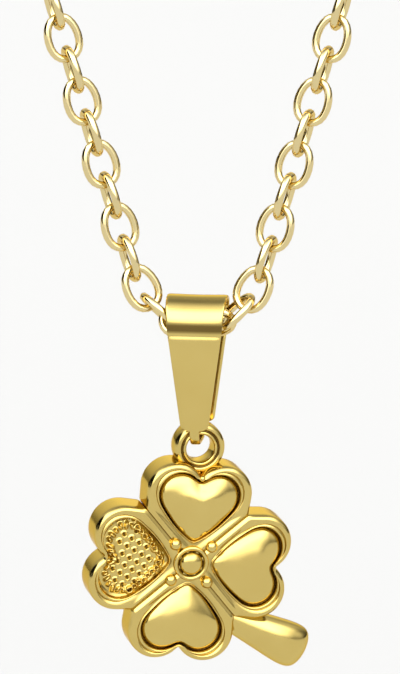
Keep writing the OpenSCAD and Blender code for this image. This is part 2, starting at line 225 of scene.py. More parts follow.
def loft(bm, rings, start_at=None, end_at=None, painted_shades=()):
    """Lofts a skin through rings and returns its rings, with each end closed by a point where one is given.

    Each ring may be given how much painted shade it gets in the gold.
    """
    made = [first_ring(bm, rings[0])]
    for places in rings[1:]:
        made.append(next_ring(bm, made[-1], places))
    # Painted shade, stored on each ring's vertices
    for ring, dark in zip(made, painted_shades):
        for vert in ring:
            vert[bm.verts.layers.float["sunk"]] = dark
    for ring, at in ((made[0], start_at), (made[-1], end_at)):
        if at is not None:
            cap = next_ring(bm, ring, [v.co.copy() for v in ring])
            bmesh.ops.pointmerge(bm, verts=cap, merge_co=at)
    return made


def close_loft(bm, made):
    """Joins the last ring of a loft to its first."""
    edges = [bm.edges.get((ring[i - 1], ring[i])) for ring in (made[0], made[-1]) for i in range(len(ring))]
    bmesh.ops.bridge_loops(bm, edges=edges)


def rounded(ring, times):
    """A ring whose corners are rounded by taking means of neighbours."""
    for _ in range(times):
        n = len(ring)
        ring = [(ring[i - 1] + 2 * ring[i] + ring[(i + 1) % n]) / 4 for i in range(n)]
    return ring


def make_piece(name, bm, body, material, nodes, levels=1):
    """Turns a bmesh into a finished piece that rides on its body and stands for its nodes."""
    bmesh.ops.recalc_face_normals(bm, faces=bm.faces)
    mesh = bpy.data.meshes.new(name)
    bm.to_mesh(mesh)
    bm.free()
    mesh.shade_smooth()
    piece = bpy.data.objects.new(name, mesh)
    bpy.context.scene.collection.objects.link(piece)
    mesh.materials.append(material)
    if levels:
        finish = piece.modifiers.new("Smooth", "SUBSURF")
        finish.levels = finish.render_levels = levels
    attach(piece, body)
    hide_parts(*nodes)
    return piece


def gold(name, bright, deep, sunk, roughness, smudge_scale):
    """Polished gold plate: warm and pale patches, faint smudges, fine scratches, and painted shade in its
    grooves, pits and crease.
    """
    found = bpy.data.materials.get(name)
    if found:
        return found
    material = bpy.data.materials.new(name)
    material.use_nodes = True
    nodes, links = material.node_tree.nodes, material.node_tree.links
    shader = nodes["Principled BSDF"]
    shader.inputs["Metallic"].default_value = 1.0
    shader.inputs["Specular Tint"].default_value = (0.9, 0.7, 0.36, 1)
    where = nodes.new("ShaderNodeTexCoord")
    patches = nodes.new("ShaderNodeTexNoise")
    patches.inputs["Scale"].default_value = smudge_scale
    patches.inputs["Detail"].default_value = 3
    links.new(where.outputs["Object"], patches.inputs["Vector"])
    tint = nodes.new("ShaderNodeMix")
    tint.data_type = "RGBA"
    tint.inputs["A"].default_value = (*deep, 1)
    tint.inputs["B"].default_value = (*bright, 1)
    links.new(patches.outputs["Fac"], tint.inputs["Factor"])
    # Painted shade: a per-vertex attribute darkens the colour towards the shade colour in grooves, pits and
    # creases
    depth = nodes.new("ShaderNodeAttribute")
    depth.attribute_name = "sunk"
    dark = nodes.new("ShaderNodeMix")
    dark.data_type = "RGBA"
    dark.inputs["B"].default_value = (*sunk, 1)
    links.new(depth.outputs["Fac"], dark.inputs["Factor"])
    links.new(tint.outputs["Result"], dark.inputs["A"])
    links.new(dark.outputs["Result"], shader.inputs["Base Color"])
    smudges = nodes.new("ShaderNodeTexNoise")
    smudges.inputs["Scale"].default_value = smudge_scale * 3
    smudges.inputs["Detail"].default_value = 5
    links.new(where.outputs["Object"], smudges.inputs["Vector"])
    polish = nodes.new("ShaderNodeMapRange")
    polish.inputs["To Min"].default_value = roughness * 0.6
    polish.inputs["To Max"].default_value = roughness * 1.5
    links.new(smudges.outputs["Fac"], polish.inputs["Value"])
    links.new(polish.outputs["Result"], shader.inputs["Roughness"])
    scratches = nodes.new("ShaderNodeTexNoise")
    scratches.inputs["Scale"].default_value = smudge_scale * 20
    scratches.inputs["Detail"].default_value = 2
    links.new(where.outputs["Object"], scratches.inputs["Vector"])
    bump = nodes.new("ShaderNodeBump")
    bump.inputs["Strength"].default_value = 0.04
    bump.inputs["Distance"].default_value = 0.00002
    links.new(scratches.outputs["Fac"], bump.inputs["Height"])
    links.new(bump.outputs["Normal"], shader.inputs["Normal"])
    return material


def link_places(node):
    """The place of each link of a packed strand, as a matrix.

    Its columns are the ways along the link, across it and out of its face, and its middle.
    """
    bm = bmesh.new()
    bm.from_mesh(node.data)
    bmesh.ops.remove_doubles(bm, verts=bm.verts, dist=1e-7)
    places, seen = [], set()
    for seed in bm.faces:
        if seed in seen:
            continue
        part, queue = [], [seed]
        seen.add(seed)
        while queue:
            face = queue.pop()
            part.append([v.co for v in face.verts])
            near = [f for edge in face.edges for f in edge.link_faces if f not in seen]
            seen.update(near)
            queue.extend(set(near))
        places.append(link_place(np.array(part, float)))
    bm.free()
    return places


def link_place(triangles):
    """A link's place from its skin: its middle, and the ways in which the skin spreads most to least."""
    a, b, c = triangles[:, 0], triangles[:, 1], triangles[:, 2]
    areas = np.linalg.norm(np.cross(b - a, c - a), axis=1) / 2
    middle = (areas[:, None] * (a + b + c) / 3).sum(0) / areas.sum()
    a, b, c = a - middle, b - middle, c - middle
    total = a + b + c
    spread = sum(np.einsum("n,ni,nj->ij", areas, p, p) for p in (a, b, c, total))
    ways = np.linalg.eigh(spread)[1].T
    along, across = Vector(ways[2]), Vector(ways[1])
    if along.z < 0:
        along = -along
    face = along.cross(across)
    return Matrix.Translation(middle) @ Matrix((along, across, face)).transposed().to_4x4()


# A link's cage: sides of its wire, steps round the link, and how far the smoothing draws each of them in
WIRE_SIDES = 6
LINK_STEPS = 12
WIRE_SHRINK = (4 + 2 * math.cos(math.tau / WIRE_SIDES)) / 6
LINK_SHRINK = (4 + 2 * math.cos(math.tau / LINK_STEPS)) / 6


def oval_ring(bm, outer_len, outer_w, wire, egg, power):
    """A ring of round wire along an oval in the plane of X and Y, narrower towards +X by its egg share."""
    a = (outer_len - wire) / 2 / LINK_SHRINK
    b = (outer_w - wire) / 2 / LINK_SHRINK
    r = wire / 2 / WIRE_SHRINK

    def spot(turn):
        c, s = math.cos(turn), math.sin(turn)
        x = math.copysign(abs(c) ** power, c)
        y = math.copysign(abs(s) ** power, s) * (1 - egg * x)
        return Vector((a * x, b * y, 0))

    rings = []
    for k in range(LINK_STEPS):
        turn = math.tau * k / LINK_STEPS
        way = (spot(turn + 0.05) - spot(turn - 0.05)).normalized()
        out = way.cross(Vector((0, 0, 1)))
        rings.append([
            spot(turn) + r * (math.cos(t) * out + math.sin(t) * Vector((0, 0, 1)))
            for t in (math.tau * (i + 0.5) / WIRE_SIDES for i in range(WIRE_SIDES))
        ])
    before = set(bm.verts)
    close_loft(bm, loft(bm, rings))
    return [v for v in bm.verts if v not in before]


def part_of(verts):
    """Everything that hangs on some vertices: they, their edges and their faces."""
    edges = {edge for vert in verts for edge in vert.link_edges}
    faces = {face for vert in verts for face in vert.link_faces}
    return list(verts) + list(edges) + list(faces)


def build_strand(name, sizes, material):
    """One strand of the chain, a link at each packed link's place."""
    bm = bmesh.new()
    model = oval_ring(bm, sizes.link_len, sizes.link_w, sizes.link_wire, sizes.egg, 0.9)
    geometry = part_of(model)
    places = link_places(frame["nodes"][name])
    for place in places[1:]:
        copy = bmesh.ops.duplicate(bm, geom=geometry)["geom"]
        verts = [item for item in copy if isinstance(item, bmesh.types.BMVert)]
        bmesh.ops.transform(bm, matrix=place, verts=verts)
    bmesh.ops.transform(bm, matrix=places[0], verts=model)
    return make_piece(name + "_links", bm, "root", material, [name])


def build_clasp(sizes, material):
    """The clasp: a long hook ring and a small ring in one plane."""
    bm = bmesh.new()
    whole = sizes.hook_len + sizes.ring_d - (sizes.hook_wire + sizes.ring_wire) / 2
    stand = Matrix.Rotation(math.pi / 2, 4, "X")
    hook = oval_ring(bm, sizes.hook_len, sizes.hook_w, sizes.hook_wire, 0, 0.7)
    place = Matrix.Translation((whole / 2 - sizes.hook_len / 2, 0, 0)) @ stand
    bmesh.ops.transform(bm, matrix=place, verts=hook)
    ring = oval_ring(bm, sizes.ring_d, sizes.ring_d, sizes.ring_wire, 0, 1)
    place = Matrix.Translation((sizes.ring_d / 2 - whole / 2, 0, 0)) @ stand
    bmesh.ops.transform(bm, matrix=place, verts=ring)
    return make_piece("clasp_rings", bm, "root", material, ["clasp"], levels=2)


# Steps along the bail's strip: round the roll, down a strap, and round a corner of the tongue
ROLL_STEPS = 60
STRAP_STEPS = 60
CORNER_STEPS = 6
# Width of the bevel along the strip's outer edges, in mm
PLATE_BEVEL = 0.32


def bail_path(s):
    """The strip's middle line from the crease in front, over the roll and down the back, to the tongue.

    Each station is its place across the fold and up, and the way out of the strip.
    """
    mid = s.strip_t / 2
    roll = s.roll_r - mid
    strap = s.strap_out - mid
    low = math.asin(s.crease_drop / s.roll_r)
    stations = []
    for share in shares(ROLL_STEPS):
        turn = math.pi + low - share * (math.pi + 2 * low)
        way = Vector((math.cos(turn), math.sin(turn)))
        stations.append((roll * way, way))
    foot = -s.crease_drop - s.plate_h - s.tongue_drop + mid
    corner = s.tongue_drop - mid
    straight = [between(-s.crease_drop, foot + corner, share) for share in shares(STRAP_STEPS)][1:]
    for z in straight:
        stations.append((Vector((strap + swell(s, z), z)), Vector((1, 0))))
    for share in shares(CORNER_STEPS)[1:]:
        way = Vector((math.cos(share * math.pi / 2), -math.sin(share * math.pi / 2)))
        stations.append((Vector((strap - corner, foot + corner)) + corner * way, way))
    for share in shares(CORNER_STEPS):
        way = Vector((-math.sin(share * math.pi / 2), -math.cos(share * math.pi / 2)))
        stations.append((Vector((corner - strap, foot + corner)) + corner * way, way))
    for z in reversed(straight):
        stations.append((Vector((-strap - swell(s, z), z)), Vector((-1, 0))))
    return stations


def swell(s, z):
    """How far a strap stands out at a height, just under the crease."""
    down = (-s.crease_drop - z) / (1.2 * MM)
    return s.shoulder * math.exp(-((down - 0.3) ** 2) / 0.05)


def bail_half_width(s, z):
    """Half the strip's width at a height."""
    foot_z = -s.crease_drop - s.plate_h
    if z > -s.crease_drop:
        return between(s.crease_w, s.top_w, (z + s.crease_drop) / (s.roll_r + s.crease_drop)) / 2
    corner = 0.4 * MM
    share = (-s.crease_drop - z) / s.plate_h
    plain = between(s.crease_w, s.foot_w, min(1, share)) / 2
    if z > foot_z + corner:
        return plain
    fall = min(1, (foot_z + corner - z) / corner)
    return between(s.tongue_w / 2, plain, math.sqrt(max(0, 1 - fall ** 2)))


def strip_section(s, half, place, way, bulge):
    """The strip's cross-section at a station: a rounded bar, as points in the bail's own frame."""
    t, r = s.strip_t / 2, s.edge_r
    bevel = min(PLATE_BEVEL * MM, half * 0.5)
    points = []
    for sx, sy, start in ((1, 1, 0), (-1, 1, 90), (-1, -1, 180), (1, -1, 270)):
        for step in (0, 30, 60, 90):
            turn = math.radians(start + step)
            wide = bevel if sy > 0 else r
            across = sx * (half - wide) + wide * math.cos(turn)
            out = sy * (t - r) + r * math.sin(turn)
            out += bulge * (across / half) ** 2
            spot = place + way * out
            points.append(Vector((across, spot.x, spot.y)))
        if sx * sy > 0:
            flat = [points[-1].x * f for f in (0.5, 0, -0.5)]
            for across in flat:
                spot = place + way * (sy * t + bulge * (across / half) ** 2)
                points.append(Vector((across, spot.x, spot.y)))
    return points


def build_bail(s, material):
    """The bail: a strip rolled round the chain, with two straps and a tongue, with painted shade along its
    crease.
    """
    bm = bmesh.new()
    bm.verts.layers.float.new("sunk")
    rings, painted_shades = [], []
    for place, way in bail_path(s):
        half = bail_half_width(s, place.y)
        on_roll = smooth((place.y + s.crease_drop) / s.roll_r)
        rings.append(strip_section(s, half, place, way, s.flare * on_roll))
        # Painted shade on the roll's underside just above the crease, where the strip turns in and faces
        # down
        over = (place.y + s.crease_drop) / MM
        painted_shades.append(0.85 * smooth((over - 0.2) / 0.1) * smooth((0.95 - over) / 0.3))
    close_loft(bm, loft(bm, rings, painted_shades=painted_shades))
    place = Matrix.Translation(HANG) @ Matrix.Rotation(BAIL_TURN, 4, "Z")
    bmesh.ops.transform(bm, matrix=place, verts=bm.verts)
    return make_piece("bail_strip", bm, "bail", material, ["bail"])


# Steps along half an outline of a leaf: round its lobe, down its side, and in to the middle
LOBE_STEPS = 22
SIDE_STEPS = 6
INNER_STEPS = 14
# A leaf's lobe radius and foot as shares of its width, and a heart's lobe radius as a share of its own
LEAF_LOBE = 0.272
LEAF_FOOT = 0.49
HEART_LOBE = 0.27
# How far a heart's straight sides bulge, as a share of its width
HEART_BULGE = 0.03
# Where a heart's middle lies between its tip and its top, and where a leaf's back is closed in its reach
HEART_MIDDLE = 0.6
BACK_MIDDLE = 0.55
# How much of an inset is kept along the seams between the leaves, and in the notch between the lobes
SEAM = 0.9
NOTCH = 0.4
# The first ring of a leaf that belongs to its rim
RIM_START = 6
# Depth of the seams between the leaves under the rim, in mm
SEAM_D = 0.14


def mirrored(half):
    """A whole ring from its right half, which starts at the notch and ends at the tip."""
    return half + [Vector((-p.x, p.y, 0)) for p in reversed(half[1:-1])]


def leaf_notch(s):
    """How far the notch between a leaf's lobes is from the clover's middle."""
    lobe = s.leaf_w * LEAF_LOBE
    return s.leaf_reach - lobe + math.sqrt(lobe ** 2 - (s.leaf_w / 2 - lobe) ** 2)


def leaf_ring(s, inset):
    """A leaf's outline, drawn in by inset."""
    lobe = s.leaf_w * LEAF_LOBE
    cx, cy = s.leaf_w / 2 - lobe, s.leaf_reach - lobe
    r = lobe - inset
    start = math.pi - math.acos(cx / lobe) - 0.08
    half = [Vector((0, leaf_notch(s) - NOTCH * inset, 0))]
    half += [
        Vector((cx + r * math.cos(start * (1 - k)), cy + r * math.sin(start * (1 - k)), 0))
        for k in shares(LOBE_STEPS - 1)
    ]
    foot, seam = s.leaf_w * LEAF_FOOT - inset, SEAM * inset * math.sqrt(2)
    corner = Vector((foot, foot + seam, 0))
    half += [between(half[LOBE_STEPS], corner, k) for k in shares(SIDE_STEPS)[1:]]
    half += [between(corner, Vector((0, seam, 0)), k) for k in shares(INNER_STEPS)[1:]]
    return mirrored(half)


def heart_ring(width, tip, top):
    """A heart's outline, with its tip and top at these distances from the clover's middle."""
    r = width * HEART_LOBE
    c = Vector((width / 2 - r, top - r, 0))
    far = math.hypot(c.x, c.y - tip)
    way = math.atan2(c.y - tip, c.x) - math.asin(r / far)
    reach = math.sqrt(far ** 2 - r ** 2)
    touch = Vector((reach * math.cos(way), tip + reach * math.sin(way), 0))
    start = math.pi - math.acos(c.x / r)
    end = math.atan2(touch.y - c.y, touch.x - c.x)
    half = [
        c + r * Vector((math.cos(t), math.sin(t), 0))
        for t in (between(start, end, k) for k in shares(LOBE_STEPS))
    ]
    side = Vector((0, tip, 0)) - touch
    out = HEART_BULGE * width * Vector((-side.y, side.x, 0)).normalized()
    half += [touch + k * side + math.sin(math.pi * k) * out for k in shares(SIDE_STEPS + INNER_STEPS)[1:]]
    return mirrored(half)


def at_height(ring, z):
    """A flat ring lifted to a height."""
    return [Vector((p.x, p.y, z)) for p in ring]


def mixed(a, b, share):
    """A ring between two others."""
    return [between(p, q, share) for p, q in zip(a, b)]


def heart_size(s):
    """The width of a heart and how far its top is from the clover's middle."""
    border = s.rim_w + s.ridge_w + s.groove_w
    return s.leaf_w - 2 * border, s.leaf_reach - border + s.lobe_raise


def raise_seam(s, ring):
    """Lifts a rim's points along the seams to the seam's depth, as two leaves are cast as one there."""
    first = LOBE_STEPS + SIDE_STEPS
    for k, spot in enumerate(ring[:]):
        if first <= k <= len(ring) - first:
            ring[k] = Vector((spot.x, spot.y, max(spot.z, s.thick - SEAM_D * MM)))


def rim_rings(s):
    """The rings of a leaf from its back over its rim and ridge into the groove, and how much painted shade
    each gets.
    """
    t = s.thick
    edge = [
        # inset, height
        (0.30, 0.0), (0.10, 0.0), (0.02, 0.04), (0.0, 0.15), (0.0, 0.8), (0.0, 1.5),
        (0.0, t / MM - 0.42), (0.03, t / MM - 0.26), (0.1, t / MM - 0.12), (0.2, t / MM - 0.035),
        (0.3, t / MM), (0.38, t / MM - 0.02),
    ]
    width, top = heart_size(s)

    def round_heart(grow, below, times):
        return rounded(heart_ring(width + 2 * grow, s.heart_tip - below, top + grow), times)

    ridge_out = round_heart(s.groove_w + s.ridge_w + 0.06 * MM, 0.34 * MM, 5)
    ridge_top = round_heart(s.groove_w + s.ridge_w * 0.5, 0.26 * MM, 4)
    ridge_in = round_heart(s.groove_w, 0.2 * MM, 4)
    inner_rim = rounded(leaf_ring(s, 0.38 * MM), 2)
    inside = [
        # ring, height below the rim, how much painted shade
        (mixed(inner_rim, ridge_out, 0.35), 0.07, 0), (mixed(inner_rim, ridge_out, 0.75), 0.15, 0.1),
        (ridge_out, 0.15, 0.35), (mixed(ridge_out, ridge_top, 0.5), 0.08, 0), (ridge_top, 0.04, 0),
        (mixed(ridge_top, ridge_in, 0.6), 0.09, 0), (ridge_in, 0.2, 0.1),
        (round_heart(s.groove_w * 0.98, 0.2 * MM, 5), s.field_d / MM * 0.6, 0.25),
        (round_heart(s.groove_w * 0.94, 0.2 * MM, 6), s.field_d / MM * 0.8, 0.6),
    ]
    rings = [at_height(leaf_ring(s, inset * MM), z * MM) for inset, z in edge]
    for ring in rings[RIM_START:]:
        raise_seam(s, ring)
    rings += [at_height(ring, t - down * MM) for ring, down, _ in inside]
    return rings, [0] * len(edge) + [dark for _, _, dark in inside]


# A domed heart from its foot up: inset in mm, height over the rim in mm, rounding, how much painted shade
HEART_STEPS = [
    (-0.27, -0.45, 6, 0.6), (-0.22, -0.34, 6, 0.2), (-0.16, -0.22, 6, 0), (-0.07, -0.1, 7, 0),
    (0.08, 0.01, 8, 0), (0.28, 0.11, 9, 0), (0.5, 0.2, 12, 0),
]
# The rest of the dome: share of the last ring, share of the dome's height
DOME_STEPS = [(0.85, 0.54), (0.68, 0.71), (0.5, 0.84), (0.32, 0.935), (0.15, 0.985)]


def heart_leaf(bm, s, turn):
    """A leaf with a domed heart."""
    rings, painted_shades = rim_rings(s)
    width, top = heart_size(s)
    for inset, height, times, dark in HEART_STEPS:
        inset *= MM
        ring = heart_ring(width - 2 * inset, s.heart_tip + 1.35 * inset, top - inset)
        rings.append(at_height(rounded(ring, times), s.thick + height * MM))
        painted_shades.append(dark)
    middle = Vector((0, between(s.heart_tip, top, HEART_MIDDLE), s.thick + s.dome_h))
    edge = rings[-1]
    for share, lift in DOME_STEPS:
        ring = [between(middle, p, share) for p in rounded(edge, 10)]
        rings.append(at_height(ring, s.thick + lift * s.dome_h))
    before = set(bm.verts)
    loft(bm, rings, start_at=Vector((0, s.leaf_reach * BACK_MIDDLE, 0)), end_at=middle, painted_shades=painted_shades)
    place_leaf(bm, before, turn)


def place_leaf(bm, before, turn):
    """Turns what was made since before about the clover's middle."""
    verts = [v for v in bm.verts if v not in before]
    bmesh.ops.rotate(bm, matrix=Matrix.Rotation(turn, 3, "Z"), verts=verts)


# The pitted leaf: grid cells over its field, turn of its lattice of pits, and how many marks border it
FIELD_CELLS = 136
PIT_TURN = math.radians(-25.5)
MARKS = 34
# How far the field's face lies over the groove's floor and its hidden back under it, and how far the
# field reaches past the heart's tip, in mm
FIELD_LIFT = 0.1
FIELD_BACK = 0.3
FIELD_PAST_TIP = 0.28
# How far the outermost pits stay from the heart's edge, in mm
PIT_INSET = 0.62


def in_heart(p, width, tip, top):
    """Whether a point lies in a heart."""
    r = width * HEART_LOBE
    c = Vector((width / 2 - r, top - r))
    far = math.hypot(c.x, c.y - tip)
    way = math.atan2(c.y - tip, c.x) - math.asin(r / far)
    q = Vector((abs(p[0]), p[1]))
    if (q - c).length < r:
        return True
    above = math.cos(way) * (q.y - tip) - math.sin(way) * q.x
    return q.y < c.y and above > 0


def even_places(ring, count):
    """Evenly spaced places along a closed ring, with the way along it at each."""
    n = len(ring)
    steps = [(ring[(i + 1) % n] - ring[i]).length for i in range(n)]
    total, found = sum(steps), []
    for k in range(count):
        run, i = total * (k + 0.5) / count, 0
        while run > steps[i]:
            run -= steps[i]
            i += 1
        a, b = ring[i], ring[(i + 1) % n]
        found.append((between(a, b, run / steps[i]), (b - a).normalized()))
    return found


def pit_at(s, p, width, tip, top):
    """The distance from a point to the nearest pit of the lattice, in halves of a pit's width, or None."""
    middle = Vector((0, between(tip, top, HEART_MIDDLE)))
    q = (p - middle) / s.pit_step
    turn = Matrix.Rotation(PIT_TURN, 2)
    cell = turn.transposed() @ q
    spot = middle + s.pit_step * (turn @ Vector((round(cell.x), round(cell.y))))
    inset = PIT_INSET * MM
    if in_heart(spot, width - 2 * inset, tip + 1.4 * inset, top - inset):
        return (p - spot).length / (s.pit_d / 2)
    return None


def border_marks(s, width, tip, top):
    """The marks round the pitted field: short dashes over its lobes, and small rings down its sides."""
    border = heart_ring(width - 0.3 * MM, tip + 0.3 * MM, top - 0.15 * MM)
    middle = Vector((0, between(tip, top, HEART_MIDDLE)))
    marks = []
    for k, (place, way) in enumerate(even_places(border, MARKS)):
        inwards = (middle - place.xy).normalized()
        swing = Matrix.Rotation(math.radians((k * 37) % 50 - 25), 2)
        size = 0.8 + 0.4 * ((k * 7) % 5) / 4
        spot = place.xy + inwards * (0.06 + 0.05 * (k % 3)) * MM
        marks.append((spot, swing @ inwards, size, place.y < middle.y))
    return marks


def field_relief(s, p, marks, width, tip, top):
    """How far the pitted field stands over its floor at a point, and how much painted shade it gets there.
    """
    far = (p - Vector((0, between(tip, top, HEART_MIDDLE)))).length
    height, dark = 0.2 * MM * smooth(1.2 - far / (3.2 * MM)), 0.0
    pit = pit_at(s, p, width, tip, top)
    if pit is not None:
        hole = math.exp(-(pit ** 2) / 0.8)
        height += MM * (0.07 * math.exp(-((pit - 1.6) ** 2) / 0.25) - 0.16 * hole)
        # Painted shade at the bottom of each pit
        dark = max(dark, hole)
    for place, way, size, ringed in marks:
        d = p - place
        if d.length > 0.6 * MM:
            continue
        if ringed:
            near = d.length / (0.17 * MM * size)
            height += 0.22 * MM * math.exp(-((near - 1) ** 2) / 0.2)
            # Painted shade inside each small ring
            dark = max(dark, math.exp(-(near ** 2) / 0.15))
        else:
            along = d.dot(way) / (0.22 * MM * size)
            across = d.cross(way) / (0.11 * MM)
            height += 0.27 * MM * math.exp(-(across ** 2)) * math.exp(-(along ** 4))
            # Painted shade along both sides of each dash, at its foot
            dark = max(dark, 0.4 * math.exp(-((abs(across) - 2) ** 2) / 0.3) * math.exp(-(along ** 4)))
    return height, dark


def pitted_leaf(bm, s, turn):
    """The leaf whose recessed heart has rows of pits inside a border of short raised marks."""
    rings, painted_shades = rim_rings(s)
    (width, top), tip = heart_size(s), s.heart_tip
    floor = s.thick - s.field_d
    middle = Vector((0, between(tip, top, HEART_MIDDLE), floor))
    before = set(bm.verts)
    loft(bm, rings, start_at=Vector((0, s.leaf_reach * BACK_MIDDLE, 0)), end_at=middle, painted_shades=painted_shades)
    marks = border_marks(s, width, tip, top)
    half = width / 2 + s.groove_w
    grid = bmesh.ops.create_grid(bm, x_segments=FIELD_CELLS, y_segments=FIELD_CELLS, size=half)["verts"]
    centre = Vector((0, (tip + top) / 2, 0))
    sunk = bm.verts.layers.float["sunk"]
    outside = []
    for vert in grid:
        vert.co += centre
        if not in_heart(vert.co, width + 2 * s.groove_w, tip - FIELD_PAST_TIP * MM, top + s.groove_w):
            outside.append(vert)
            continue
        # Each grid point takes its height and its painted shade
        lift, vert[sunk] = field_relief(s, vert.co.xy, marks, width, tip, top)
        vert.co.z = floor + FIELD_LIFT * MM + lift
    bmesh.ops.delete(bm, geom=outside, context="VERTS")
    kept = [v for v in grid if v.is_valid]
    faces = list({face for v in kept for face in v.link_faces})
    walls = bmesh.ops.extrude_face_region(bm, geom=faces, use_keep_orig=True)["geom"]
    for item in walls:
        if isinstance(item, bmesh.types.BMVert):
            item.co.z = floor - FIELD_BACK * MM
    under = [item for item in walls if isinstance(item, bmesh.types.BMFace)]
    under = bmesh.ops.dissolve_faces(bm, faces=under, use_verts=True)["region"]
    bmesh.ops.triangulate(bm, faces=under, quad_method="BEAUTY", ngon_method="BEAUTY")
    place_leaf(bm, before, turn)


def spun(profile, steps):
    """Copies of a profile of radius and height, turned about Z in even steps."""
    turns = [math.tau * k / steps for k in range(steps)]
    return [[Vector((r * math.cos(t), r * math.sin(t), z)) for r, z in profile] for t in turns]


def add_bead(bm, radius, spot):
    """A small ball of gold."""
    place = Matrix.Translation(spot)
    bmesh.ops.create_uvsphere(bm, u_segments=16, v_segments=10, radius=radius, matrix=place)


# How far the beads' middles lie under the rim in mm, and how much larger a facetted bead is made
BEAD_SINK = 0.02
BEAD_GROWTH = 1.06


def build_boss(bm, s):
    """The boss in the clover's middle, a dome in a ring, with four beads round it."""
    t, r = s.thick, s.boss_d / 2
    # Share of the boss's radius, height over the rim in mm, how much painted shade
    profile = [
        (0.2, -1.2, 0), (0.98, -1.2, 0), (1.0, -0.6, 0), (1.0, -0.05, 0.6), (0.97, 0.08, 0),
        (0.9, 0.16, 0), (0.81, 0.16, 0), (0.73, 0.06, 0), (0.69, -0.04, 0.9), (0.67, -0.05, 1),
        (0.64, 0.04, 0.4), (0.59, 0.17, 0), (0.49, 0.3, 0), (0.36, 0.38, 0), (0.2, 0.43, 0),
        (0.08, 0.45, 0),
    ]
    rings = list(zip(*spun([(share * r, t + up * MM) for share, up, _ in profile], 40)))
    ends = [Vector((0, 0, t + profile[i][1] * MM)) for i in (0, -1)]
    # Painted shade at the boss's foot and in the groove between its ring and dome
    loft(bm, [list(ring) for ring in rings], *ends, painted_shades=[dark for _, _, dark in profile])
    for k in range(4):
        turn = math.pi / 4 + k * math.pi / 2
        spot = (s.bead_r * math.cos(turn), s.bead_r * math.sin(turn), t - BEAD_SINK * MM)
        add_bead(bm, s.bead_d / 2 * BEAD_GROWTH, spot)


# The eye's section: share of its wall outwards, share of half its depth forwards, how much painted shade
EYE_SECTION = [
    (0.0, 0.5, 0), (0.05, 0.8, 0), (0.14, 0.97, 0), (0.26, 0.98, 0), (0.34, 0.88, 0.5), (0.41, 0.76, 1),
    (0.48, 0.88, 0.5), (0.58, 0.98, 0), (0.76, 0.96, 0), (0.92, 0.78, 0), (1.0, 0.5, 0), (1.0, -0.5, 0),
    (0.9, -0.88, 0), (0.7, -1.0, 0), (0.3, -1.0, 0), (0.1, -0.88, 0), (0.0, -0.5, 0),
]
# The eye's middle above the clover's back, as a share of the clover's thickness
EYE_DEEP = 0.29


def build_eye(bm, s):
    """The eye's ring with its double band, and the web and the small bead under it."""
    notch = leaf_notch(s)
    bore, deep = s.eye_bore / 2, s.eye_depth / 2
    section = [(bore + s.eye_wall * across, deep * out) for across, out, _ in EYE_SECTION]
    before = set(bm.verts)
    made = loft(bm, spun(section, 56))
    close_loft(bm, made)
    # Painted shade in the groove between the eye's two bands
    for ring in made:
        for vert, (_, _, dark) in zip(ring, EYE_SECTION):
            vert[bm.verts.layers.float["sunk"]] = dark
    verts = [v for v in bm.verts if v not in before]
    bmesh.ops.translate(bm, vec=(-s.eye_left, s.leaf_reach + s.eye_above, s.thick * EYE_DEEP), verts=verts)
    add_bead(bm, 0.45 * MM, (0, notch, s.thick * 0.35))
    add_bead(bm, 0.2 * MM, (0, notch - 0.05 * MM, s.thick - 0.12 * MM))


# The stem: share of its length, share of its end's half width, share of its height
STEM_ROWS = [
    (-0.12, 0.5, 0.55), (0, 0.55, 0.72), (0.2, 0.67, 0.86), (0.45, 0.8, 0.97), (0.6, 0.9, 1.0),
    (0.75, 0.98, 0.99), (0.85, 0.99, 0.93), (0.92, 0.92, 0.85), (0.965, 0.72, 0.72), (0.99, 0.42, 0.55),
    (0.999, 0.16, 0.42),
]
# The stem's root from the clover's middle in mm, the way in which it leaves, and the sides of its cage
STEM_ROOT = (3.0, -3.75)
STEM_TURN = math.radians(-20.5)
STEM_SIDES = 28


def build_stem(bm, s):
    """The puffy stem with a round end."""
    rings = []
    low = 0.15 * MM
    for share, wide, high in STEM_ROWS:
        half, top = wide * s.stem_w / 2, high * (s.thick - 0.1 * MM)
        belly = between(low, top, 0.42)
        ring = []
        for k in range(STEM_SIDES):
            turn = math.tau * k / STEM_SIDES
            c, sn = math.cos(turn), math.sin(turn)
            y = half * math.copysign(abs(c) ** 0.88, c)
            z = belly + (top - belly) * sn ** 0.95 if sn > 0 else belly - (belly - low) * abs(sn) ** 0.45
            ring.append(Vector((share * s.stem_len, y, z)))
        rings.append(ring)
    before = set(bm.verts)
    middle = Vector((STEM_ROWS[0][0] * s.stem_len, 0, s.thick * 0.4))
    end = Vector((s.stem_len, 0, s.thick * 0.4))
    loft(bm, rings, start_at=middle, end_at=end)
    verts = [v for v in bm.verts if v not in before]
    root = Matrix.Translation((STEM_ROOT[0] * MM, STEM_ROOT[1] * MM, 0))
    place = root @ Matrix.Rotation(STEM_TURN, 4, "Z")
    bmesh.ops.transform(bm, matrix=place, verts=verts)


def build_clover(s, material):
    """The cast clover: four leaves, boss, beads, eye and stem in one piece."""
    bm = bmesh.new()
    bm.verts.layers.float.new("sunk")
    for turn in (0, math.pi, 1.5 * math.pi):
        heart_leaf(bm, s, turn)
    build_boss(bm, s)
    build_stem(bm, s)
    build_eye(bm, s)
    pitted_leaf(bm, s, math.pi / 2)
    place = (
        Matrix.Translation(EYE)
        @ Matrix.Rotation(s.turn, 4, "Z")
        @ Matrix.Rotation(s.lean, 4, "Y")
        @ Matrix.Rotation(math.pi / 2 + s.tip, 4, "X")
        @ Matrix.Translation((s.eye_left, -s.leaf_reach - s.eye_above, -s.thick * EYE_DEEP))
    )
    bmesh.ops.transform(bm, matrix=place, verts=bm.verts)
    return make_piece("clover_casting", bm, "clover", material, ["clover"])


